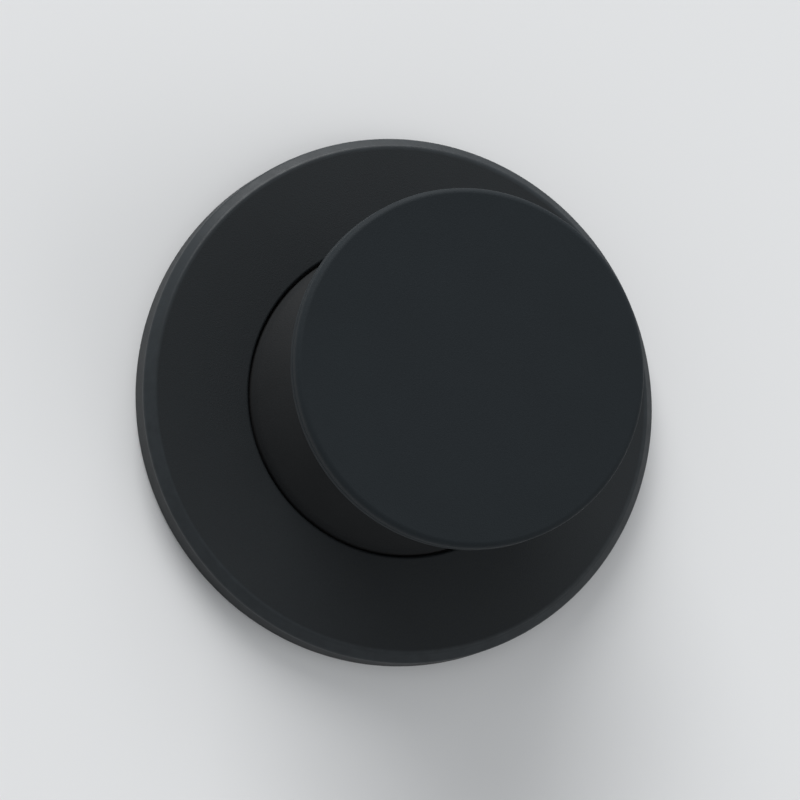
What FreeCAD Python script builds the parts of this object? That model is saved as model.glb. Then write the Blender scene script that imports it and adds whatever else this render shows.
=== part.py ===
# Magnetic phone grip: a round magnetic base, a folding rubber neck and a flat round knob.
# Millimetres. +Z runs up the grip's axis from the base to the knob, and the origin is the
# centre of the base's soft lower face. The neck is modelled pulled out.
import FreeCAD, Part
import os

import Sketcher

# The driving sizes, one spreadsheet cell each.
SIZES = {
    # Base
    "base_diameter": 60.0,
    "base_height": 5.0,
    "rim_bevel": 1.0,
    "housing_wall": 1.6,
    "cover_thickness": 0.7,
    "cover_gap": 0.1,
    "pad_thickness": 0.6,
    "pad_proud": 0.25,
    "pad_gap": 0.2,
    # Magnet ring and its steel backing
    "magnet_margin": 1.4,
    "magnet_width": 4.0,
    "magnet_thickness": 1.5,
    "magnet_count": 36,
    "magnet_spacing": 0.3,
    "magnet_gap": 0.15,
    "shield_thickness": 0.5,
    "shield_overlap": 0.3,
    # Turning foot of the neck
    "groove_wall": 2.85,
    "flange_overhang": 1.7,
    "flange_thickness": 0.9,
    "flange_play": 0.1,
    "groove_gap": 0.3,
    "foot_ring_width": 3.8,
    # Folding neck
    "neck_play": 0.3,
    "neck_collar": 0.5,
    "neck_wall": 1.4,
    "hinge_wall": 1.4,
    "fold_count": 2,
    "fold_step": 1.8,
    "fold_share": 0.74,
    "stem_diameter": 21.0,
    "stem_length": 3.6,
    # Plug that closes the top of the neck and takes the knob
    "plug_flange": 0.8,
    "plug_depth": 2.0,
    "bond_gap": 0.05,
    "plug_bore_gap": 0.1,
    "key_gap": 0.15,
    "key_reach": 0.6,
    # Knob
    "extended_height": 33.0,
    "knob_diameter": 40.0,
    "knob_thickness": 3.2,
    "face_bevel": 0.7,
    "under_bevel": 0.9,
    "cap_thickness": 1.6,
    "hub_diameter": 10.0,
    "hub_wall": 1.0,
    "hub_tail": 1.2,
    "barb_reach": 0.5,
    "barb_land": 0.3,
    "slot_width": 1.6,
    "slot_count": 4,
}

# How far apart two edges may lie and still be the same one.
SAME_PLACE = 1e-4

# Places worked out from the sizes, as expressions.
BASE_RADIUS = "Sizes.base_diameter / 2"
PAD_TOP = "Sizes.pad_thickness"
FLOOR = f"({PAD_TOP} + Sizes.cover_thickness)"
MAGNET_TOP = f"({FLOOR} + Sizes.magnet_thickness)"
SHIELD_TOP = f"({MAGNET_TOP} + Sizes.shield_thickness)"
POCKET_OUTER = f"({BASE_RADIUS} - Sizes.housing_wall)"
MAGNET_OUTER = f"({POCKET_OUTER} - Sizes.magnet_margin)"
MAGNET_INNER = f"({MAGNET_OUTER} - Sizes.magnet_width)"
POCKET_INNER = f"({MAGNET_INNER} - Sizes.magnet_gap)"

FLANGE_BOTTOM = f"({FLOOR} + Sizes.flange_play)"
FLANGE_TOP = f"({FLANGE_BOTTOM} + Sizes.flange_thickness)"
LIP_BOTTOM = f"({FLANGE_TOP} + Sizes.flange_play)"
GROOVE_RADIUS = f"({POCKET_INNER} - Sizes.groove_wall)"
FLANGE_RADIUS = f"({GROOVE_RADIUS} - Sizes.groove_gap)"
WELL_RADIUS = f"({FLANGE_RADIUS} - Sizes.flange_overhang)"

KNOB_TOP = "Sizes.extended_height"
KNOB_UNDER = f"({KNOB_TOP} - Sizes.knob_thickness)"
KNOB_RADIUS = "Sizes.knob_diameter / 2"
KNOB_SEAM = f"({KNOB_TOP} - Sizes.cap_thickness)"

NECK_TOP = f"({KNOB_UNDER} - Sizes.plug_flange)"
NECK_FOOT_RADIUS = f"({WELL_RADIUS} - Sizes.neck_play)"
STEM_RADIUS = "Sizes.stem_diameter / 2"
STEM_BORE = f"({STEM_RADIUS} - Sizes.fold_step - Sizes.neck_wall)"
STEM_BOTTOM = f"({NECK_TOP} - Sizes.stem_length)"
PLUG_RADIUS = f"({STEM_BORE} - Sizes.bond_gap)"
PLUG_BOTTOM = f"({NECK_TOP} - Sizes.plug_depth)"
HUB_RADIUS = "Sizes.hub_diameter / 2"
HUB_BORE = f"({HUB_RADIUS} - Sizes.hub_wall)"
PLUG_BORE = f"({HUB_RADIUS} + Sizes.plug_bore_gap)"
CATCH = f"({PLUG_BOTTOM} - Sizes.bond_gap)"
HUB_BOTTOM = f"({PLUG_BOTTOM} - Sizes.hub_tail)"


def make_sheet(doc):
    """Puts every driving size in a cell of its own, with its name as the alias."""
    sheet = doc.addObject("Spreadsheet::Sheet", "Sizes")
    for row, (alias, number) in enumerate(SIZES.items(), start=1):
        sheet.set(f"A{row}", alias)
        sheet.set(f"B{row}", str(number))
        sheet.setAlias(f"B{row}", alias)
    doc.recompute()
    return sheet


def number_of(doc, expression):
    """The present value of an expression on the sheet."""
    return float(doc.getObject("Sizes").evalExpression(expression))


def origin_feature(body, role):
    """One of the body's own origin planes or axes."""
    return next(f for f in body.Origin.OriginFeatures if f.Role == role)


def new_body(doc, label):
    """An empty body for one piece."""
    body = doc.addObject("PartDesign::Body", label)
    body.Label = label
    return body


def place_corner(sketch, corner, across, along):
    """Binds the start of one line to its two expressions, or to the axis where one is zero."""
    for kind, expression, axis in (("DistanceX", across, -2), ("DistanceY", along, -1)):
        if expression == "0":
            sketch.addConstraint(Sketcher.Constraint("PointOnObject", corner, 1, axis))
            continue
        present = number_of(sketch.Document, expression)
        index = sketch.addConstraint(Sketcher.Constraint(kind, -1, 1, corner, 1, present))
        sketch.setExpression(f"Constraints[{index}]", expression)


def outline_sketch(body, name, plane, outline, height=None):
    """A closed outline of straight lines through (across, along) pairs of expressions."""
    doc = body.Document
    sketch = body.newObject("Sketcher::SketchObject", name)
    sketch.AttachmentSupport = [(origin_feature(body, plane), "")]
    sketch.MapMode = "FlatFace"
    if height:
        sketch.setExpression("AttachmentOffset.Base.z", height)
    corners = [
        FreeCAD.Vector(number_of(doc, across), number_of(doc, along), 0)
        for across, along in outline
    ]
    for start, end in zip(corners, corners[1:] + corners[:1]):
        sketch.addGeometry(Part.LineSegment(start, end), False)
    for line in range(len(corners)):
        following = (line + 1) % len(corners)
        sketch.addConstraint(Sketcher.Constraint("Coincident", line, 2, following, 1))
    for line, (across, along) in enumerate(outline):
        place_corner(sketch, line, across, along)
    doc.recompute()
    return sketch


def turn(body, outline):
    """Revolves an outline of (radius, height) pairs about the grip's axis."""
    sketch = outline_sketch(body, body.Label + "_outline", "XZ_Plane", outline)
    turned = body.newObject("PartDesign::Revolution", body.Label + "_turned")
    turned.Profile = sketch
    turned.ReferenceAxis = (sketch, ["V_Axis"])
    turned.Angle = 360
    body.Document.recompute()
    return turned


def ring_edge(feature, radius, height):
    """The name of the circular edge with that radius at that height, both expressions."""
    wanted = (number_of(feature.Document, radius), number_of(feature.Document, height))
    for index, edge in enumerate(feature.Shape.Edges, start=1):
        if not isinstance(edge.Curve, Part.Circle):
            continue
        found = (edge.Curve.Radius, edge.Curve.Center.z)
        if max(abs(a - b) for a, b in zip(found, wanted)) < SAME_PLACE:
            return f"Edge{index}"
    raise RuntimeError(f"{feature.Label} has no edge at {wanted}")


def bevel_edge(body, feature, name, size, radius, height):
    """Chamfers one circular edge."""
    chamfer = body.newObject("PartDesign::Chamfer", name)
    chamfer.Base = (feature, [ring_edge(feature, radius, height)])
    chamfer.setExpression("Size", size)
    body.Document.recompute()
    return chamfer


def repeat_round(body, feature, name, count):
    """Repeats a feature evenly about the grip's axis."""
    pattern = body.newObject("PartDesign::PolarPattern", name)
    pattern.Originals = [feature]
    pattern.Axis = (origin_feature(body, "Z_Axis"), [""])
    pattern.Angle = 360
    pattern.setExpression("Occurrences", count)
    body.Tip = pattern
    body.Document.recompute()
    return pattern


def bar_outline(inner, outer, width):
    """A bar along X between two radii, centred across Y."""
    half = f"({width}) / 2"
    return [(inner, f"-{half}"), (outer, f"-{half}"), (outer, half), (inner, half)]


def raise_block(body, name, outline, height, length):
    """Pads an outline upwards from a height."""
    sketch = outline_sketch(body, name + "_outline", "XY_Plane", outline, height)
    pad = body.newObject("PartDesign::Pad", name)
    pad.Profile = sketch
    pad.setExpression("Length", length)
    body.Document.recompute()
    return pad


def cut_block(body, name, outline, height, length):
    """Cuts an outline upwards from a height."""
    sketch = outline_sketch(body, name + "_outline", "XY_Plane", outline, height)
    before = body.Shape.Volume
    pocket = body.newObject("PartDesign::Pocket", name)
    pocket.Profile = sketch
    pocket.Reversed = True
    pocket.setExpression("Length", length)
    body.Document.recompute()
    if body.Shape.Volume >= before:
        raise RuntimeError(f"{name} cut nothing")
    return pocket


def make_grip_pad(doc):
    """Soft disc that makes the base's lower face, set in the foot of the housing."""
    radius = f"({POCKET_OUTER} - Sizes.pad_gap)"
    body = new_body(doc, "grip_pad")
    turn(body, [("0", "0"), (radius, "0"), (radius, PAD_TOP), ("0", PAD_TOP)])
    return body


def make_base_cover(doc):
    """Flat lower cover that closes the magnet pocket and carries the pad."""
    radius = f"({POCKET_OUTER} - Sizes.cover_gap)"
    body = new_body(doc, "base_cover")
    turn(body, [("0", PAD_TOP), (radius, PAD_TOP), (radius, FLOOR), ("0", FLOOR)])
    return body


def make_base_housing(doc):
    """Upper shell of the base: bevelled rim, magnet pocket and the well that traps the neck."""
    top = "Sizes.base_height"
    foot = "Sizes.pad_proud"
    body = new_body(doc, "base_housing")
    shell = turn(
        body,
        [
            (BASE_RADIUS, foot),
            (BASE_RADIUS, top),
            (WELL_RADIUS, top),
            (WELL_RADIUS, LIP_BOTTOM),
            (GROOVE_RADIUS, LIP_BOTTOM),
            (GROOVE_RADIUS, FLOOR),
            (POCKET_INNER, FLOOR),
            (POCKET_INNER, SHIELD_TOP),
            (POCKET_OUTER, SHIELD_TOP),
            (POCKET_OUTER, foot),
        ],
    )
    bevel_edge(body, shell, "rim", "Sizes.rim_bevel", BASE_RADIUS, top)
    return body


def make_magnets(doc):
    """Ring of separate block magnets, each narrowing towards the middle."""
    half_step = "tan(180 deg / Sizes.magnet_count)"
    half_spacing = "Sizes.magnet_spacing / 2"
    inner_half = f"({MAGNET_INNER} * {half_step} - {half_spacing})"
    outer_half = f"({MAGNET_OUTER} * {half_step} - {half_spacing})"
    body = new_body(doc, "magnet_segments")
    body.AllowCompound = True
    block = raise_block(
        body,
        "magnet",
        [
            (MAGNET_INNER, f"-{inner_half}"),
            (MAGNET_OUTER, f"-{outer_half}"),
            (MAGNET_OUTER, outer_half),
            (MAGNET_INNER, inner_half),
        ],
        FLOOR,
        "Sizes.magnet_thickness",
    )
    repeat_round(body, block, "magnet_ring", "Sizes.magnet_count")
    return body


def make_shield(doc):
    """Flat steel ring that backs the magnets."""
    outer = f"({MAGNET_OUTER} + Sizes.shield_overlap)"
    body = new_body(doc, "shield_ring")
    turn(
        body,
        [
            (MAGNET_INNER, MAGNET_TOP),
            (outer, MAGNET_TOP),
            (outer, SHIELD_TOP),
            (MAGNET_INNER, SHIELD_TOP),
        ],
    )
    return body


def make_foot_ring(doc):
    """Hard ring under the neck, trapped below the lip of the well, on which the grip turns."""
    inner = f"({FLANGE_RADIUS} - Sizes.foot_ring_width)"
    body = new_body(doc, "foot_ring")
    turn(
        body,
        [
            (inner, FLANGE_BOTTOM),
            (FLANGE_RADIUS, FLANGE_BOTTOM),
            (FLANGE_RADIUS, FLANGE_TOP),
            (inner, FLANGE_TOP),
        ],
    )
    return body


def neck_folds():
    """The root and the next crest of each fold, as (radius, height) pairs from the foot up."""
    collar_top = "(Sizes.base_height + Sizes.neck_collar)"
    pitch = f"(({STEM_BOTTOM} - {collar_top}) / Sizes.fold_count)"
    narrowing = f"(({NECK_FOOT_RADIUS} - {STEM_RADIUS}) / Sizes.fold_count)"
    folds = []
    for fold in range(SIZES["fold_count"]):
        crest_radius = f"({NECK_FOOT_RADIUS} - {fold + 1} * {narrowing})"
        root_height = f"({collar_top} + ({fold} + Sizes.fold_share) * {pitch})"
        crest_height = f"({collar_top} + {fold + 1} * {pitch})"
        root = (f"({crest_radius} - Sizes.fold_step)", root_height)
        folds.append((root, (crest_radius, crest_height)))
    return collar_top, folds


def make_neck(doc):
    """Folding rubber neck: cones that step inwards on thin hinges, up to a straight stem."""
    collar_top, folds = neck_folds()
    outside = [(NECK_FOOT_RADIUS, FLANGE_TOP), (NECK_FOOT_RADIUS, collar_top)]
    inside = [(f"({NECK_FOOT_RADIUS} - Sizes.neck_wall)", FLANGE_TOP)]
    for root, crest in folds:
        outside += [root, crest]
        hinge_height = f"({root[1]} + Sizes.hinge_wall)"
        inside += [(f"({radius} - Sizes.neck_wall)", hinge_height) for radius, _ in (root, crest)]
    outside.append((STEM_RADIUS, NECK_TOP))
    inside[-1] = (STEM_BORE, NECK_TOP)
    body = new_body(doc, "folding_neck")
    turn(body, outside + inside[::-1])
    return body


def make_neck_plug(doc):
    """Hard plug bonded into the top of the neck, with keys that stop the knob turning."""
    body = new_body(doc, "neck_plug")
    turn(
        body,
        [
            (PLUG_BORE, PLUG_BOTTOM),
            (PLUG_RADIUS, PLUG_BOTTOM),
            (PLUG_RADIUS, NECK_TOP),
            (STEM_RADIUS, NECK_TOP),
            (STEM_RADIUS, KNOB_UNDER),
            (PLUG_BORE, KNOB_UNDER),
        ],
    )
    key = raise_block(
        body,
        "key",
        bar_outline(
            f"({PLUG_BORE} - Sizes.key_reach)",
            f"({PLUG_BORE} + Sizes.key_reach)",
            "(Sizes.slot_width - 2 * Sizes.key_gap)",
        ),
        PLUG_BOTTOM,
        "Sizes.plug_depth",
    )
    repeat_round(body, key, "keys", "Sizes.slot_count")
    return body


def make_knob_shell(doc):
    """Underside of the knob with a split hub that snaps into the plug."""
    barb_radius = f"({HUB_RADIUS} + Sizes.barb_reach)"
    body = new_body(doc, "knob_shell")
    plate = turn(
        body,
        [
            ("0", KNOB_UNDER),
            (HUB_BORE, KNOB_UNDER),
            (HUB_BORE, HUB_BOTTOM),
            (f"({HUB_RADIUS} - Sizes.barb_land)", HUB_BOTTOM),
            (barb_radius, f"({CATCH} - Sizes.barb_land)"),
            (barb_radius, CATCH),
            (HUB_RADIUS, CATCH),
            (HUB_RADIUS, KNOB_UNDER),
            (KNOB_RADIUS, KNOB_UNDER),
            (KNOB_RADIUS, KNOB_SEAM),
            ("0", KNOB_SEAM),
        ],
    )
    bevel_edge(body, plate, "under_edge", "Sizes.under_bevel", KNOB_RADIUS, KNOB_UNDER)
    slot = cut_block(
        body,
        "slot",
        bar_outline(
            f"({HUB_BORE} - Sizes.hub_wall)",
            f"({barb_radius} + Sizes.hub_wall)",
            "Sizes.slot_width",
        ),
        HUB_BOTTOM,
        f"({NECK_TOP} - {HUB_BOTTOM})",
    )
    repeat_round(body, slot, "slots", "Sizes.slot_count")
    return body


def make_knob_cap(doc):
    """Flat round face of the knob."""
    body = new_body(doc, "knob_cap")
    disc = turn(
        body,
        [("0", KNOB_SEAM), (KNOB_RADIUS, KNOB_SEAM), (KNOB_RADIUS, KNOB_TOP), ("0", KNOB_TOP)],
    )
    bevel_edge(body, disc, "face_edge", "Sizes.face_bevel", KNOB_RADIUS, KNOB_TOP)
    return body


def check(doc, bodies):
    """Stops the build if any object failed or any piece isn't sound."""
    for made in doc.Objects:
        if "Invalid" in made.State or "Error" in made.State:
            raise RuntimeError(f"{made.Label} failed: {made.State}")
    for body in bodies:
        if body.Shape.isNull() or not body.Shape.isValid() or not body.Shape.Solids:
            raise RuntimeError(f"{body.Label} has no sound solid")


def main():
    doc = FreeCAD.newDocument("phone_grip")
    make_sheet(doc)
    bodies = [
        make_grip_pad(doc),
        make_base_cover(doc),
        make_base_housing(doc),
        make_magnets(doc),
        make_shield(doc),
        make_foot_ring(doc),
        make_neck(doc),
        make_neck_plug(doc),
        make_knob_shell(doc),
        make_knob_cap(doc),
    ]
    doc.recompute()
    check(doc, bodies)
    os.makedirs("parts", exist_ok=True)
    for body in bodies:
        body.Shape.exportStep(os.path.join("parts", body.Label + ".step"))
        print(f"{body.Label}: {len(body.Shape.Solids)} solids, {body.Shape.Volume:.1f} mm3")


main()
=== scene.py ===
"""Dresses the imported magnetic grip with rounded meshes, finishes, studio light and a camera.

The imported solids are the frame, and the main sizes are read from it. Sizes are in millimetres, as
on a drawing, and become metres where a mesh is made. The grip rests on its pad at the origin, its
axis is +Z and the knob is at the top.
"""

import logging
import math
from dataclasses import dataclass, field
from enum import Enum

import bmesh
import bpy
from mathutils import Matrix, Vector


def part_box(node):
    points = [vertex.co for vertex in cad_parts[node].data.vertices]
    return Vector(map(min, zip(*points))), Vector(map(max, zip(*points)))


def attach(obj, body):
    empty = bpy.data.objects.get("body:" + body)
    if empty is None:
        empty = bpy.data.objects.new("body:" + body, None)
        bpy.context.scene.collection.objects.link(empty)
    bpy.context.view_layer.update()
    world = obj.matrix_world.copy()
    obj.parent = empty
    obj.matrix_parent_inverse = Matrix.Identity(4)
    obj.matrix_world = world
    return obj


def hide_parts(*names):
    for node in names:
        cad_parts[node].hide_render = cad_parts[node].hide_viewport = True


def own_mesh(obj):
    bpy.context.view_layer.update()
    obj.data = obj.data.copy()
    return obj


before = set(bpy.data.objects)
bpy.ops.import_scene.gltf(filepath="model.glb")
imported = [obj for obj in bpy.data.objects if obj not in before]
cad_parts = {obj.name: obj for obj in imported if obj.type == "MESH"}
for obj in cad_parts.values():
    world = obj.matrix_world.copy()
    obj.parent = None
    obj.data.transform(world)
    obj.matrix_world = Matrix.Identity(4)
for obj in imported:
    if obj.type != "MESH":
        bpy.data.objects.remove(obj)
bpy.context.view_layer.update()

LOG = logging.getLogger("phone_grip")
# The vertex mask of rounded edges. It paints them lighter, partly as wear and partly as a painted
# highlight.
EDGE_LAYER = "edge"

# The picture's side in pixels, and a full turn in radians.
IMAGE_SIDE = 800
FULL_TURN = 2.0 * math.pi

# A millimetre, and the gap below which two points are one, both in metres.
MM = 0.001
SAME_PLACE = 1e-6

# The values between which most of a noise lies, and how many finer layers a patchy one has.
NOISE_SPAN = (0.3, 0.7)
PATCH_DETAIL = 4.0

Colour = tuple[float, float, float]
Span = tuple[float, float]
Socket = bpy.types.NodeSocket
Value = Socket | float | tuple[float, float, float, float]


class Body(Enum):
    """The bodies that pieces ride on."""

    BASE = "base"
    NECK = "neck"
    KNOB = "knob"


class Slot(Enum):
    """The record's material slots, one of which each new piece names."""

    KNOB_PLASTIC = "knob_plastic"
    BASE_PLASTIC = "base_plastic"
    NECK_RUBBER = "neck_rubber"
    PAD_SILICONE = "pad_silicone"


class Node(Enum):
    """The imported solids."""

    KNOB_CAP = "knob_cap"
    KNOB_SHELL = "knob_shell"
    NECK_PLUG = "neck_plug"
    FOLDING_NECK = "folding_neck"
    FOOT_RING = "foot_ring"
    BASE_HOUSING = "base_housing"
    SHIELD_RING = "shield_ring"
    MAGNET_SEGMENTS = "magnet_segments"
    BASE_COVER = "base_cover"
    GRIP_PAD = "grip_pad"


@dataclass(frozen=True)
class Solid:
    """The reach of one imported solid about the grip's axis, in millimetres."""

    radius: float
    bottom: float
    top: float

    @classmethod
    def of(cls, node: Node) -> "Solid":
        """Reads a solid's reach from the frame.

        Args:
            node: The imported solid.

        Returns:
            Its outer radius, its lowest level and its highest level.
        """
        low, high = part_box(node.value)
        radius = max(high.x, high.y, -low.x, -low.y)
        return cls(radius / MM, low.z / MM, high.z / MM)


class NodeBoard:
    """The node tree of one material, with a short call for each kind of node it needs."""

    def __init__(self, name: str) -> None:
        """Starts a material with a shader and the object's own coordinates.

        Args:
            name: The material's name.
        """
        self.material = bpy.data.materials.new(name)
        self.material.use_nodes = True
        self.tree = self.material.node_tree
        self.tree.nodes.clear()
        output = self.add("ShaderNodeOutputMaterial")
        self.shader = self.add("ShaderNodeBsdfPrincipled")
        self.link(self.shader.outputs["BSDF"], output.inputs["Surface"])
        self.place = self.add("ShaderNodeTexCoord").outputs["Object"]

    def add(self, kind: str, **settings: object) -> bpy.types.Node:
        """Adds a node.

        Args:
            kind: Blender's type name of the node.
            settings: The node's own properties.

        Returns:
            The new node.
        """
        node = self.tree.nodes.new(kind)
        for key, value in settings.items():
            setattr(node, key, value)
        return node

    def link(self, source: Socket, target: Socket) -> None:
        """Joins an output socket to an input socket."""
        self.tree.links.new(source, target)

    def feed(self, target: Socket, value: Value) -> None:
        """Links a socket to an input, or sets a plain value on it.

        Args:
            target: The input.
            value: The output socket to link, or the value to set.
        """
        if isinstance(value, Socket):
            self.link(value, target)
        else:
            target.default_value = value

    def noise(self, size: float, detail: float = 2.0) -> Socket:
        """Adds a noise pattern.

        Args:
            size: Width of the pattern's blobs in millimetres.
            detail: How many finer layers lie on top.

        Returns:
            The pattern's value, about 0.5 on average.
        """
        node = self.add("ShaderNodeTexNoise")
        self.link(self.place, node.inputs["Vector"])
        node.inputs["Scale"].default_value = 1.0 / (size * MM)
        node.inputs["Detail"].default_value = detail
        return node.outputs["Fac"]

    def pebbles(self, size: float) -> Socket:
        """Adds a pattern of small rounded cells.

        Args:
            size: Width of a cell in millimetres.

        Returns:
            The distance from each cell's middle, 0 at the middle.
        """
        node = self.add("ShaderNodeTexVoronoi", feature="SMOOTH_F1")
        self.link(self.place, node.inputs["Vector"])
        node.inputs["Scale"].default_value = 1.0 / (size * MM)
        return node.outputs["Distance"]

    def math(self, operation: str, first: Value, second: Value) -> Socket:
        """Adds a sum, product or other plain operation on two values.

        Args:
            operation: Blender's name of the operation.
            first: The first value, a socket or a number.
            second: The second value, a socket or a number.

        Returns:
            The result.
        """
        node = self.add("ShaderNodeMath", operation=operation)
        self.feed(node.inputs[0], first)
        self.feed(node.inputs[1], second)
        return node.outputs[0]

    def remap(self, value: Socket, source: Span, target: Span) -> Socket:
        """Stretches a value from one range to another and holds it there.

        Args:
            value: The socket to stretch.
            source: The range that it comes in.
            target: The range that it leaves in.

        Returns:
            The stretched value.
        """
        node = self.add("ShaderNodeMapRange", interpolation_type="SMOOTHSTEP")
        self.link(value, node.inputs["Value"])
        for name, number in zip(("From Min", "From Max", "To Min", "To Max"), source + target):
            node.inputs[name].default_value = number
        return node.outputs["Result"]

    def mix(self, share: Socket, first: Value, second: Value) -> Socket:
        """Mixes two colours.

        Args:
            share: The share of the second colour, from 0 to 1.
            first: The first colour, a socket or four numbers.
            second: The second colour, a socket or four numbers.

        Returns:
            The mixed colour.
        """
        node = self.add("ShaderNodeMix", data_type="RGBA")
        sockets = {socket.identifier: socket for socket in node.inputs}
        self.link(share, sockets["Factor_Float"])
        self.feed(sockets["A_Color"], first)
        self.feed(sockets["B_Color"], second)
        return next(out for out in node.outputs if out.identifier == "Result_Color")

    def edge(self) -> Socket:
        """Gives the mesh's own edge mask, up to 1 where a rounded edge is painted lighter as wear
        and as a painted highlight.
        """
        return self.add("ShaderNodeAttribute", attribute_name=EDGE_LAYER).outputs["Fac"]

    def bump(self, height: Socket, depth: float) -> None:
        """Raises the surface by a pattern.

        Args:
            height: The pattern.
            depth: Height of the pattern in millimetres.
        """
        node = self.add("ShaderNodeBump")
        node.inputs["Distance"].default_value = depth * MM
        self.link(height, node.inputs["Height"])
        self.link(node.outputs["Normal"], self.shader.inputs["Normal"])


def shade(colour: Colour, factor: float = 1.0) -> tuple[float, float, float, float]:
    """Gives a lighter or darker colour of the same hue, as the four numbers that a socket takes."""
    red, green, blue = colour
    return (red * factor, green * factor, blue * factor, 1.0)


@dataclass(frozen=True)
class MouldedFinish:
    """A moulded plastic or rubber: mottled colour, fine grain, and edges painted lighter, partly as
    wear and partly as a painted highlight.

    Sizes and depths are in millimetres, and the rest are shares.

    Attributes:
        name: The material's name.
        colour: The plain colour.
        roughness: How dull it is.
        specular: How much it mirrors.
        grain_size: Width of the grain's bumps.
        grain_depth: Height of the grain's bumps.
        pebble_ratio: Width of the grain's pebbles against its bumps.
        grain_span: The grain's heights between which it darkens.
        mottle_size: Width of the colour's patches.
        mottle: How far the colour strays in them.
        speckle: How far the grain darkens the colour.
        speckle_shade: The darkest shade that it goes towards.
        smudge_size: Width of the patches of dullness.
        smudge: How far the dullness strays in them.
        wear_and_highlight_patch_size: Width of the patches in the edge mark.
        edge_wear_and_highlight: Most edge mark on a rounded edge, standing for wear and for a
            painted highlight.
        least_wear_and_highlight: Least edge mark there, against the most.
        wear_and_highlight_lift: How much lighter a marked edge is painted, as wear and as a painted
            highlight.
        burnish: How much less dull a marked edge is.
        polish: How much of its grain a marked edge has lost.
        sheen: Soft shine seen along the surface.
    """

    name: str
    colour: Colour
    roughness: float
    specular: float
    grain_size: float
    grain_depth: float
    pebble_ratio: float = 1.1
    grain_span: Span = (0.5, 1.3)
    mottle_size: float = 9.0
    mottle: float = 0.1
    speckle: float = 0.12
    speckle_shade: float = 0.4
    smudge_size: float = 5.4
    smudge: float = 0.05
    # The edge mark paints rounded edges lighter, partly as wear and partly as a painted highlight.
    wear_and_highlight_patch_size: float = 1.3
    edge_wear_and_highlight: float = 0.5
    least_wear_and_highlight: float = 0.6
    wear_and_highlight_lift: float = 1.8
    burnish: float = 0.12
    polish: float = 0.9
    sheen: float = 0.0

    def material(self) -> bpy.types.Material:
        """Builds the node material.

        Returns:
            The finished material.
        """
        board = NodeBoard(self.name)
        pebbles = board.pebbles(self.pebble_ratio * self.grain_size)
        grain = board.math("ADD", board.noise(self.grain_size), pebbles)
        # The edge mark paints the colour lighter, as wear and as a painted highlight, and lowers
        # the roughness.
        wear_and_highlight_mask = self._wear_and_highlight_mask(board)
        board.feed(board.shader.inputs["Base Color"], self._tone(board, grain, wear_and_highlight_mask))
        smudge = board.remap(
            board.noise(self.smudge_size, PATCH_DETAIL),
            NOISE_SPAN,
            (self.roughness - self.smudge, self.roughness + self.smudge),
        )
        dull = board.math("SUBTRACT", smudge, board.math("MULTIPLY", wear_and_highlight_mask, self.burnish))
        board.feed(board.shader.inputs["Roughness"], dull)
        board.shader.inputs["Specular IOR Level"].default_value = self.specular
        board.shader.inputs["Sheen Weight"].default_value = self.sheen
        kept_grain = board.math("SUBTRACT", 1.0, board.math("MULTIPLY", wear_and_highlight_mask, self.polish))
        board.bump(board.math("MULTIPLY", grain, kept_grain), self.grain_depth)
        return board.material

    def _wear_and_highlight_mask(self, board: NodeBoard) -> Socket:
        """Gives the uneven edge mark of wear and painted highlight along the rounded edges.

        Args:
            board: The material's nodes.

        Returns:
            The mark's socket, 0 away from the edges.
        """
        patches = board.noise(self.wear_and_highlight_patch_size, PATCH_DETAIL)
        uneven = board.remap(patches, NOISE_SPAN, (self.least_wear_and_highlight * self.edge_wear_and_highlight, self.edge_wear_and_highlight))
        return board.math("MULTIPLY", board.edge(), uneven)

    def _tone(self, board: NodeBoard, grain: Socket, wear_and_highlight_mask: Socket) -> Socket:
        """Gives the colour: mottled, darker in the grain's pits, and lighter along the edge mark as
        wear and as a painted highlight.

        Args:
            board: The material's nodes.
            grain: The grain's height.
            wear_and_highlight_mask: The edge mark of wear and painted highlight.

        Returns:
            The colour's socket.
        """
        tone = board.mix(
            board.remap(board.noise(self.mottle_size, PATCH_DETAIL), NOISE_SPAN, (0.0, 1.0)),
            shade(self.colour, 1.0 - self.mottle),
            shade(self.colour, 1.0 + self.mottle),
        )
        speck = board.remap(grain, self.grain_span, (0.0, self.speckle))
        tone = board.mix(speck, tone, shade(self.colour, self.speckle_shade))
        # Marked edges are painted lighter: wear, and on the base's bevel a painted highlight.
        return board.mix(wear_and_highlight_mask, tone, shade(self.colour, self.wear_and_highlight_lift))


@dataclass(frozen=True)
class MetalFinish:
    """A plated or rolled metal: fine grain, patches of tarnish and a soft shine.

    Sizes and depths are in millimetres, and the rest are shares.

    Attributes:
        name: The material's name.
        colour: The bright colour.
        roughness: How dull it is.
        grain_size: Width of the grain's bumps.
        grain_depth: Height of the grain's bumps.
        tarnish_size: Width of the patches of tarnish.
        tarnish: How much darker they are.
        dulling: How far the dullness strays with the grain.
    """

    name: str
    colour: Colour
    roughness: float
    grain_size: float
    grain_depth: float
    tarnish_size: float = 3.0
    tarnish: float = 0.15
    dulling: float = 0.2

    def material(self) -> bpy.types.Material:
        """Builds the node material.

        Returns:
            The finished material.
        """
        board = NodeBoard(self.name)
        grain = board.noise(self.grain_size, PATCH_DETAIL)
        tone = board.mix(
            board.remap(board.noise(self.tarnish_size, PATCH_DETAIL), NOISE_SPAN, (0.0, 1.0)),
            shade(self.colour, 1.0 - self.tarnish),
            shade(self.colour),
        )
        least, most = 1.0 - self.dulling, 1.0 + self.dulling
        dull = board.remap(grain, NOISE_SPAN, (least * self.roughness, most * self.roughness))
        board.feed(board.shader.inputs["Base Color"], tone)
        board.feed(board.shader.inputs["Roughness"], dull)
        board.shader.inputs["Metallic"].default_value = 1.0
        board.bump(grain, self.grain_depth)
        return board.material


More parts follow.
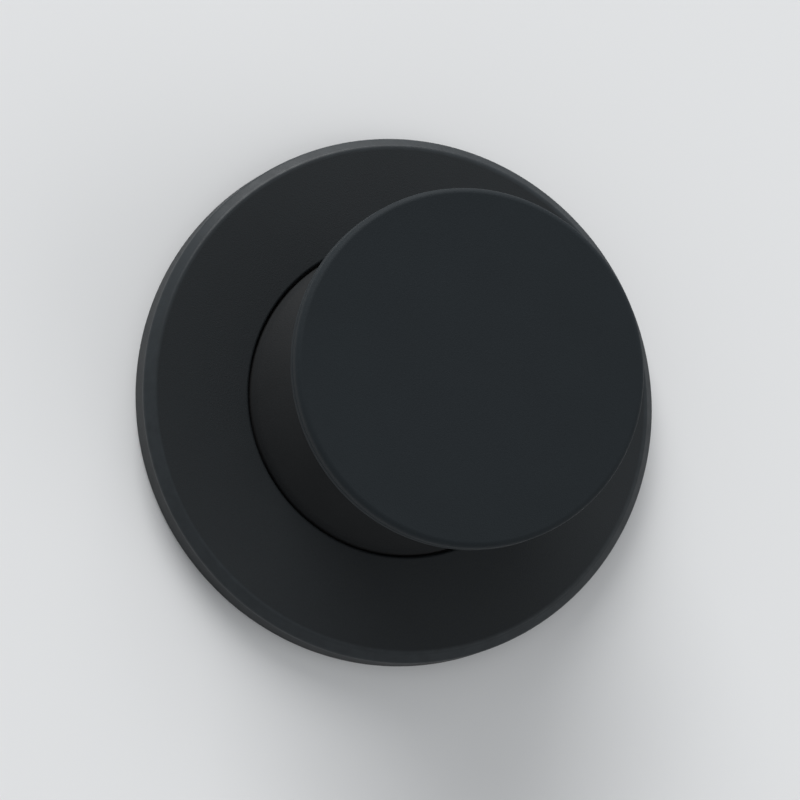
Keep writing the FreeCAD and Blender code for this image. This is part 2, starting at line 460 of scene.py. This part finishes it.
SOFT_TOUCH = MouldedFinish(
    name="soft_touch_plastic",
    colour=(0.0122, 0.0163, 0.0194),
    roughness=0.66,
    specular=0.15,
    grain_size=0.13,
    grain_depth=0.012,
    speckle=0.2,
    mottle=0.03,
    smudge=0.012,
    edge_wear_and_highlight=0.3,
    wear_and_highlight_lift=1.3,
    burnish=0.05,
)
SATIN = MouldedFinish(
    name="satin_plastic",
    colour=(0.0144, 0.0173, 0.0195),
    roughness=0.56,
    specular=0.22,
    grain_size=0.14,
    grain_depth=0.012,
    speckle=0.2,
    mottle=0.03,
    smudge=0.012,
    # This strong edge mark paints the base's bevel lighter, as a painted highlight besides the
    # wear.
    edge_wear_and_highlight=0.8,
    burnish=0.26,
)
RUBBER = MouldedFinish(
    name="neck_rubber",
    colour=(0.0098, 0.0109, 0.0119),
    roughness=0.68,
    specular=0.22,
    grain_size=0.18,
    grain_depth=0.014,
    mottle=0.06,
    smudge=0.03,
    edge_wear_and_highlight=0.4,
    wear_and_highlight_lift=1.5,
    burnish=0.1,
    sheen=0.03,
)
SILICONE = MouldedFinish(
    name="pad_silicone",
    colour=(0.02, 0.0212, 0.0225),
    roughness=0.55,
    specular=0.4,
    grain_size=0.14,
    grain_depth=0.002,
    edge_wear_and_highlight=0.3,
    wear_and_highlight_lift=1.4,
)
INNER_PLASTIC = MouldedFinish(
    name="inner_plastic",
    colour=(0.011, 0.0118, 0.0125),
    roughness=0.48,
    specular=0.45,
    grain_size=0.3,
    grain_depth=0.003,
)
NICKEL = MetalFinish(
    name="plated_nickel",
    colour=(0.62, 0.59, 0.54),
    roughness=0.24,
    grain_size=0.15,
    grain_depth=0.001,
)
STEEL = MetalFinish(
    name="rolled_steel",
    colour=(0.5, 0.5, 0.51),
    roughness=0.36,
    grain_size=0.2,
    grain_depth=0.002,
)


@dataclass(frozen=True)
class Corner:
    """One corner of a turned outline, in millimetres.

    The rounding is how far along both neighbouring lines the corner is eased. The edge mask, which
    paints an edge lighter as wear and as a painted highlight, takes the middle mark along the
    middle of the rounding, and the end mark at its ends or at a sharp corner.
    """

    radius: float
    height: float
    rounding: float = 0.0
    end_mark: float = 0.0
    middle_mark: float = 1.0


@dataclass(frozen=True)
class Turning:
    """A shape turned about the grip's axis from an outline of corners.

    An outline that starts on the axis ends on it too. Any other is a closed loop. The steps are
    counted once round the axis, and the segments along each rounding.
    """

    corners: tuple[Corner, ...]
    steps: int = 192
    segments: int = 6

    def shape(self) -> bmesh.types.BMesh:
        """Turns the outline.

        Returns:
            A closed shape whose faces point outwards, with the edge mask on its vertices.
        """
        form = bmesh.new()
        layer = form.verts.layers.float.new(EDGE_LAYER)
        places = [(corner.radius * MM, 0.0, corner.height * MM) for corner in self.corners]
        points = [form.verts.new(place) for place in places]
        following = points[1:] if self.corners[0].radius == 0.0 else points[1:] + points[:1]
        for start, end in zip(points, following):
            form.edges.new((start, end))
        for corner, point in zip(self.corners, points):
            point[layer] = corner.end_mark
            if corner.rounding:
                self._ease(form, layer, point, corner)
        bmesh.ops.spin(
            form,
            geom=form.verts[:] + form.edges[:],
            cent=(0.0, 0.0, 0.0),
            axis=(0.0, 0.0, 1.0),
            angle=FULL_TURN,
            steps=self.steps,
            use_merge=True,
        )
        bmesh.ops.remove_doubles(form, verts=form.verts[:], dist=SAME_PLACE)
        bmesh.ops.recalc_face_normals(form, faces=form.faces[:])
        return form

    def _ease(
        self,
        form: bmesh.types.BMesh,
        layer: bmesh.types.BMLayerItem,
        point: bmesh.types.BMVert,
        corner: Corner,
    ) -> None:
        """Rounds one corner of the outline and marks it in the edge mask.

        Args:
            form: The outline.
            layer: The edge mask.
            point: The corner's vertex.
            corner: The corner, with its rounding and its marks for wear and painted highlight.
        """
        place = point.co.copy()
        made = bmesh.ops.bevel(
            form,
            geom=[point],
            offset=corner.rounding * MM,
            offset_type="OFFSET",
            segments=self.segments,
            profile=0.5,
            affect="VERTICES",
            material=-1,
        )
        reach = [(vert.co - place).length for vert in made["verts"]]
        near, far = min(reach), max(reach)
        for vert, distance in zip(made["verts"], reach):
            share = (far - distance) / (far - near)
            vert[layer] = corner.end_mark + (corner.middle_mark - corner.end_mark) * share


@dataclass(frozen=True)
class Piece:
    """A new piece: its name, the body it rides on, its finish and the solid it stands for."""

    name: str
    body: Body
    slot: Slot
    stands_for: Node
    sharp_angle: float = 40.0

    def make(self, form: bmesh.types.BMesh, material: bpy.types.Material) -> bpy.types.Object:
        """Turns a shape into an object of the scene.

        Args:
            form: The shape, which is freed.
            material: The finish.

        Returns:
            The finished object, riding on its body.
        """
        mesh = bpy.data.meshes.new(self.name)
        form.to_mesh(mesh)
        form.free()
        mesh.shade_smooth()
        mesh.set_sharp_from_angle(angle=math.radians(self.sharp_angle))
        mesh.materials.append(material)
        made = bpy.data.objects.new(self.name, mesh)
        bpy.context.scene.collection.objects.link(made)
        normals = made.modifiers.new("flat_faces_stay_flat", "WEIGHTED_NORMAL")
        normals.keep_sharp = True
        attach(made, self.body.value)
        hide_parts(self.stands_for.value)
        LOG.info("%s: %d faces on body %s", self.name, len(mesh.polygons), self.body.value)
        return made


@dataclass(frozen=True)
class Base:
    """The base: a bevelled housing with a well for the neck, and the soft pad below it.

    The well's lip holds the neck's foot ring down. The pocket for the magnets and their shield is
    a ring round the well, and the pad closes it from below together with the cover.
    """

    housing: Solid = Solid.of(Node.BASE_HOUSING)
    pad: Solid = Solid.of(Node.GRIP_PAD)
    cover: Solid = Solid.of(Node.BASE_COVER)
    shield: Solid = Solid.of(Node.SHIELD_RING)
    foot_ring: Solid = Solid.of(Node.FOOT_RING)
    neck: Solid = Solid.of(Node.FOLDING_NECK)
    rim_bevel: float = 1.0
    rim_ease: float = 0.22
    fade_ratio: float = 2.0
    well_ease: float = 0.3
    well_wear: float = 0.15
    inner_ease: float = 0.1
    neck_play: float = 0.3
    ring_gap: float = 0.3
    ring_play: float = 0.1
    pocket_wall: float = 2.85
    pad_gap: float = 0.2
    pad_round: float = 0.25
    groove_first: float = 4.0
    groove_pitch: float = 1.6
    groove_width: float = 0.5
    groove_depth: float = 0.12
    groove_ease: float = 0.08
    groove_round: float = 0.15
    groove_segments: int = 2

    def build(self) -> None:
        """Builds the housing and the pad and dresses them."""
        housing = Piece("base_shell", Body.BASE, Slot.BASE_PLASTIC, Node.BASE_HOUSING)
        housing.make(self._housing(), SATIN.material())
        pad = Piece("base_pad", Body.BASE, Slot.PAD_SILICONE, Node.GRIP_PAD)
        pad.make(self._pad(), SILICONE.material())

    def _housing(self) -> bmesh.types.BMesh:
        """Shapes the housing: up the rim, down the well and round the magnets' pocket.

        Returns:
            The housing's shape.
        """
        radius, bottom, top = self.housing.radius, self.housing.bottom, self.housing.top
        bevel_foot, bevel_top = top - self.rim_bevel, radius - self.rim_bevel
        # The bevel is fully marked, which paints it lighter as a highlight round the rim besides
        # the wear, and the mark fades out on a narrow strip on either side.
        strip = self.fade_ratio * self.rim_ease
        well = self.neck.radius + self.neck_play
        lip = self.foot_ring.top + self.ring_play
        groove = self.foot_ring.radius + self.ring_gap
        pocket_inner = groove + self.pocket_wall
        pocket_outer = self.pad.radius + self.pad_gap
        return Turning(
            (
                Corner(radius, bottom, self.rim_ease),
                Corner(radius, bevel_foot - strip),
                # These two corners mark the whole bevel, which paints it lighter as a highlight.
                Corner(radius, bevel_foot, self.rim_ease, end_mark=1.0),
                Corner(bevel_top, top, self.rim_ease, end_mark=1.0),
                Corner(bevel_top - strip, top),
                Corner(well, top, self.well_ease, middle_mark=self.well_wear),
                Corner(well, lip, self.inner_ease),
                Corner(groove, lip),
                Corner(groove, self.cover.top),
                Corner(pocket_inner, self.cover.top),
                Corner(pocket_inner, self.shield.top),
                Corner(pocket_outer, self.shield.top),
                Corner(pocket_outer, bottom, self.inner_ease),
            )
        ).shape()

    def _pad(self) -> bmesh.types.BMesh:
        """Shapes the pad with fine round grooves in its lower face.

        Returns:
            The pad's shape.
        """
        corners = [
            Corner(0.0, self.pad.top),
            Corner(self.pad.radius, self.pad.top),
            Corner(self.pad.radius, self.pad.bottom, self.pad_round),
        ]
        half = 0.5 * self.groove_width
        depth = self.pad.bottom + self.groove_depth
        room = self.pad.radius - self.groove_first - self.groove_pitch
        for index in reversed(range(1 + int(room / self.groove_pitch))):
            middle = self.groove_first + index * self.groove_pitch
            corners.append(Corner(middle + half, self.pad.bottom, self.groove_ease))
            corners.append(Corner(middle, depth, self.groove_round))
            corners.append(Corner(middle - half, self.pad.bottom, self.groove_ease))
        corners.append(Corner(0.0, self.pad.bottom))
        return Turning(tuple(corners), segments=self.groove_segments).shape()


@dataclass(frozen=True)
class Neck:
    """The one-piece folding neck, which flattens into the base when the knob is pushed in.

    Each fold leans in from a crest to a root and steps back out to the next crest. The crests
    narrow evenly from the collar above the base to the stem round the plug.
    """

    body: Solid = Solid.of(Node.FOLDING_NECK)
    plug: Solid = Solid.of(Node.NECK_PLUG)
    housing: Solid = Solid.of(Node.BASE_HOUSING)
    collar: float = 0.5
    stem_length: float = 3.6
    fold_count: int = 2
    fold_step: float = 1.8
    fold_share: float = 0.74
    wall: float = 1.4
    fold_round: float = 0.9
    hinge_round: float = 0.3
    end_round: float = 0.15
    segments: int = 8
    slide: str = "knob_slide"

    def build(self) -> None:
        """Builds and dresses the neck, and gives it a mesh of its own."""
        piece = Piece("neck_bellows", Body.NECK, Slot.NECK_RUBBER, Node.FOLDING_NECK)
        turning = Turning(self._outline(), segments=self.segments)
        made = piece.make(turning.shape(), RUBBER.material())
        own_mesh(made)

    def _outline(self) -> tuple[Corner, ...]:
        """Works out the outline, up the outside and down the inside.

        Returns:
            The corners of the closed outline.
        """
        foot, stem = self.body.radius, self.plug.radius
        collar_top = self.housing.top + self.collar
        pitch = (self.body.top - self.stem_length - collar_top) / self.fold_count
        narrowing = (foot - stem) / self.fold_count
        outside = [
            Corner(foot, self.body.bottom, self.end_round),
            Corner(foot, collar_top, self.fold_round),
        ]
        inside = [Corner(foot - self.wall, self.body.bottom)]
        for fold in range(self.fold_count):
            crest = foot - (fold + 1) * narrowing
            root = crest - self.fold_step
            root_height = collar_top + (fold + self.fold_share) * pitch
            hinge = root_height + self.wall
            outside.append(Corner(root, root_height, self.fold_round))
            outside.append(Corner(crest, collar_top + (fold + 1) * pitch, self.fold_round))
            inside.append(Corner(root - self.wall, hinge, self.hinge_round))
            inside.append(Corner(crest - self.wall, hinge, self.hinge_round))
        outside.append(Corner(stem, self.body.top, self.end_round))
        # Above its last root the inside runs straight up, as the bore for the plug.
        inside[-1] = Corner(inside[-2].radius, self.body.top)
        return tuple(outside + inside[::-1])


@dataclass(frozen=True)
class Knob:
    """The knob: a flat face, and below it a shell with a split hub that snaps into the neck.

    The hub's prongs catch below the neck's plug, and their slots end level with the neck's top.
    """

    cap: Solid = Solid.of(Node.KNOB_CAP)
    shell: Solid = Solid.of(Node.KNOB_SHELL)
    plug: Solid = Solid.of(Node.NECK_PLUG)
    neck: Solid = Solid.of(Node.FOLDING_NECK)
    face_round: float = 0.7
    under_round: float = 0.9
    seam_round: float = 0.12
    hub_radius: float = 5.0
    hub_wall: float = 1.0
    catch_gap: float = 0.05
    catch_ease: float = 0.02
    barb_reach: float = 0.5
    barb_land: float = 0.3
    prong_count: int = 4
    slot_width: float = 1.6

    def build(self) -> None:
        """Builds both pieces of the knob and dresses them."""
        plastic = SOFT_TOUCH.material()
        face = Piece("knob_face", Body.KNOB, Slot.KNOB_PLASTIC, Node.KNOB_CAP)
        face.make(self._face(), plastic)
        shell = Piece("knob_underside", Body.KNOB, Slot.KNOB_PLASTIC, Node.KNOB_SHELL)
        shell.make(self._shell(), plastic)

    def _face(self) -> bmesh.types.BMesh:
        """Shapes the face with its eased upper edge and a fine seam below.

        Returns:
            The face's shape.
        """
        return Turning(
            (
                Corner(0.0, self.cap.bottom),
                Corner(self.cap.radius, self.cap.bottom, self.seam_round),
                Corner(self.cap.radius, self.cap.top, self.face_round),
                Corner(0.0, self.cap.top),
            )
        ).shape()

    def _shell(self) -> bmesh.types.BMesh:
        """Shapes the plate and the hub's root, then draws the snap prongs out of the root.

        Returns:
            The shell's shape.
        """
        bore = self.hub_radius - self.hub_wall
        underside, root, seam = self.plug.top, self.neck.top, self.cap.bottom
        turning = Turning(
            (
                Corner(0.0, underside),
                Corner(bore, underside),
                Corner(bore, root),
                Corner(self.hub_radius, root),
                Corner(self.hub_radius, underside),
                Corner(self.shell.radius, underside, self.under_round),
                Corner(self.shell.radius, seam, self.seam_round),
                Corner(0.0, seam),
            )
        )
        form = turning.shape()
        self._draw_prongs(form)
        bmesh.ops.recalc_face_normals(form, faces=form.faces[:])
        return form

    def _prong_levels(self) -> list[tuple[float, float]]:
        """Works out the levels of a prong below its root, from the top down.

        Returns:
            The outer radius and the height of each level.
        """
        barb = self.hub_radius + self.barb_reach
        catch = self.plug.bottom - self.catch_gap
        return [
            (self.hub_radius, catch + self.catch_ease),
            (barb, catch),
            (barb, catch - self.barb_land),
            (self.hub_radius - self.barb_land, self.shell.bottom),
        ]

    def _draw_prongs(self, form: bmesh.types.BMesh) -> None:
        """Extrudes the prongs downwards, level by level, leaving the slots open.

        Args:
            form: The shell, whose hub root is a flat ring.
        """
        tips = [face for face in form.faces if self._is_prong(face.calc_center_median())]
        height, radius = self.neck.top, self.hub_radius
        middle = (self.hub_radius - 0.5 * self.hub_wall) * MM
        for next_radius, next_height in self._prong_levels():
            made = bmesh.ops.extrude_face_region(form, geom=tips)["geom"]
            bmesh.ops.delete(form, geom=tips, context="FACES_ONLY")
            tips = [part for part in made if isinstance(part, bmesh.types.BMFace)]
            verts = [part for part in made if isinstance(part, bmesh.types.BMVert)]
            outer = [vert for vert in verts if vert.co.xy.length > middle]
            bmesh.ops.translate(form, verts=verts, vec=(0.0, 0.0, (next_height - height) * MM))
            grow = next_radius / radius
            bmesh.ops.scale(form, verts=outer, vec=(grow, grow, 1.0))
            height, radius = next_height, next_radius

    def _is_prong(self, middle: Vector) -> bool:
        """Tells whether a face's middle is on the hub's root and clear of the slots.

        Args:
            middle: The face's middle, in metres.

        Returns:
            True for a face that a prong grows from.
        """
        on_root = abs(middle.z - self.neck.top * MM) < SAME_PLACE
        turn = FULL_TURN / self.prong_count
        angle = math.atan2(middle.y, middle.x) % turn
        from_slot = min(angle, turn - angle) * middle.xy.length
        return on_root and from_slot > 0.5 * self.slot_width * MM


@dataclass(frozen=True)
class InnerParts:
    """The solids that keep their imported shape, by finish."""

    nodes: dict[MouldedFinish | MetalFinish, tuple[Node, ...]] = field(
        default_factory=lambda: {
            INNER_PLASTIC: (Node.BASE_COVER, Node.FOOT_RING, Node.NECK_PLUG),
            NICKEL: (Node.MAGNET_SEGMENTS,),
            STEEL: (Node.SHIELD_RING,),
        }
    )

    def dress(self) -> None:
        """Gives each solid its finish."""
        for finish, nodes in self.nodes.items():
            material = finish.material()
            for node in nodes:
                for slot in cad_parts[node.value].material_slots:
                    slot.material = material
                LOG.info("%s: dressed with %s", node.value, finish.name)


@dataclass(frozen=True)
class SoftBox:
    """A flat studio lamp that faces the grip, in metres and watts."""

    name: str
    place: tuple[float, float, float]
    width: float
    height: float
    power: float

    def build(self) -> None:
        """Adds the lamp to the scene."""
        lamp = bpy.data.lights.new(self.name, "AREA")
        lamp.shape = "RECTANGLE"
        lamp.size = self.width
        lamp.size_y = self.height
        lamp.energy = self.power
        made = bpy.data.objects.new(self.name, lamp)
        made.location = self.place
        made.rotation_euler = Vector(self.place).to_track_quat("Z", "Y").to_euler()
        made.visible_camera = False
        bpy.context.scene.collection.objects.link(made)


@dataclass(frozen=True)
class Studio:
    """The plain pale floor, the soft lamps and the even light all round. Sizes are in metres."""

    floor_radius: float = 9.0
    floor_sides: int = 96
    floor_colour: Colour = (0.78, 0.785, 0.79)
    floor_roughness: float = 0.9
    floor_specular: float = 0.1
    world_colour: Colour = (0.96, 0.98, 1.0)
    world_strength: float = 0.5
    lamps: tuple[SoftBox, ...] = (
        SoftBox("key_lamp", place=(-0.95, 3.3, 2.2), width=2.2, height=2.2, power=108.0),
        SoftBox("rim_lamp", place=(-0.22, 3.5, 0.59), width=3.1, height=0.8, power=68.0),
        SoftBox("fill_lamp", place=(3.0, -1.3, 3.0), width=2.6, height=2.6, power=24.0),
    )

    def build(self) -> None:
        """Lays the floor, hangs the lamps and sets the world."""
        self._lay_floor()
        for lamp in self.lamps:
            lamp.build()
        self._set_world()
        bpy.context.scene.view_settings.view_transform = "Standard"

    def _lay_floor(self) -> None:
        """Lays a round floor that the grip stands on."""
        form = bmesh.new()
        bmesh.ops.create_circle(
            form, cap_ends=True, segments=self.floor_sides, radius=self.floor_radius
        )
        mesh = bpy.data.meshes.new("floor")
        form.to_mesh(mesh)
        form.free()
        board = NodeBoard("floor_paper")
        board.shader.inputs["Base Color"].default_value = shade(self.floor_colour)
        board.shader.inputs["Roughness"].default_value = self.floor_roughness
        board.shader.inputs["Specular IOR Level"].default_value = self.floor_specular
        mesh.materials.append(board.material)
        floor = bpy.data.objects.new("floor", mesh)
        bpy.context.scene.collection.objects.link(floor)

    def _set_world(self) -> None:
        """Sets one plain, even light all round."""
        world = bpy.data.worlds.new("studio")
        world.use_nodes = True
        even = world.node_tree.nodes["Background"]
        even.inputs["Color"].default_value = shade(self.world_colour)
        even.inputs["Strength"].default_value = self.world_strength
        bpy.context.scene.world = world


@dataclass(frozen=True)
class PhotoCamera:
    """The camera at the photograph's viewing angle, drawn closer so that the grip fills the frame.

    The direction to the camera comes from how far the knob is shifted against the base in the
    photograph. The camera aims at the middle of the base, at the foot of its bevel. The distances
    are in metres. The photograph's pixel, the bevel and the sensor are in millimetres.
    """

    housing: Solid = Solid.of(Node.BASE_HOUSING)
    rim_bevel: float = Base.rim_bevel
    towards: tuple[float, float, float] = (-0.27, -0.13, 0.954)
    upright: tuple[float, float, float] = (0.0, 1.0, 0.0)
    distance: float = 0.9
    nearest: float = 0.05
    photo_pixel: float = 0.567
    closer: float = 5.0
    sensor: float = 36.0

    def build(self) -> None:
        """Adds the camera and makes it the scene's own."""
        data = bpy.data.cameras.new("photo_camera")
        data.sensor_width = self.sensor
        width = IMAGE_SIDE * self.photo_pixel * MM / self.closer
        data.lens = self.sensor * self.distance / width
        data.clip_start = self.nearest
        made = bpy.data.objects.new("photo_camera", data)
        back = Vector(self.towards).normalized()
        right = Vector(self.upright).cross(back).normalized()
        turn = Matrix((right, back.cross(right), back)).transposed()
        aim = Vector((0.0, 0.0, (self.housing.top - self.rim_bevel) * MM))
        spot = aim + self.distance * back
        made.matrix_world = Matrix.Translation(spot) @ turn.to_4x4()
        bpy.context.scene.collection.objects.link(made)
        bpy.context.scene.camera = made


def main() -> None:
    """Builds the camera, the studio and every piece, in that order."""
    logging.basicConfig(level=logging.INFO, format="%(name)s %(message)s")
    PhotoCamera().build()
    Studio().build()
    Base().build()
    Neck().build()
    Knob().build()
    InnerParts().dress()


if __name__ == "__main__":
    main()
